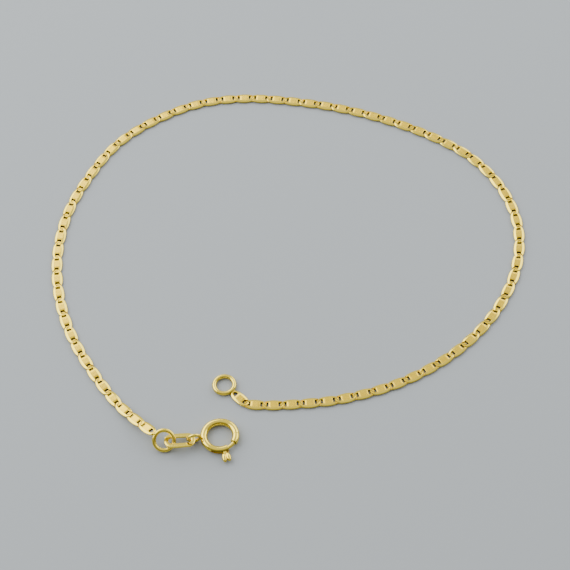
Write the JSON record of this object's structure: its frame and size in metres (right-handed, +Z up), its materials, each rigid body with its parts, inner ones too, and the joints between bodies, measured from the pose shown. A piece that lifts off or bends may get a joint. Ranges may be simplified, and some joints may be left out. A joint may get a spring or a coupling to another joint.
{
  "type": "chain anklet",
  "caption": "Fine gold anklet of flat filled marquise links with a spring-ring clasp, a flat connector, a jump ring and a closed end ring, lying open in a loop.",
  "frame": {"origin": "middle of the anklet's box, on the surface it lies on", "axes": "+X along the side of the loop that holds the clasp, from the jump ring towards the clasp; +Y away from that side; +Z up from the surface"},
  "size_m": [0.0854, 0.0797, 0.0027],
  "materials": {
    "rolled_gold": "polished rims and finely textured flat plates",
    "wire_gold": "polished",
    "clasp_gold": "polished"
  },
  "bodies": {
    "anklet": {"link_chain": "rolled_gold", "end_ring": "wire_gold", "jump_ring": "wire_gold", "connector_link": "wire_gold", "clasp_ring": "clasp_gold"},
    "trigger": {"clasp_trigger": "clasp_gold"}
  },
  "joints": [
    {"name": "trigger_slide_round", "type": "hinge", "parent": "anklet", "child": "trigger", "pos_m": [-0.01394, -0.03484, 0.00061], "axis": [0, 0, 1], "range_deg": [-33.5, 0], "stiffness_Nm_per_rad": 0.002, "springref_deg": 29.79}
  ]
}
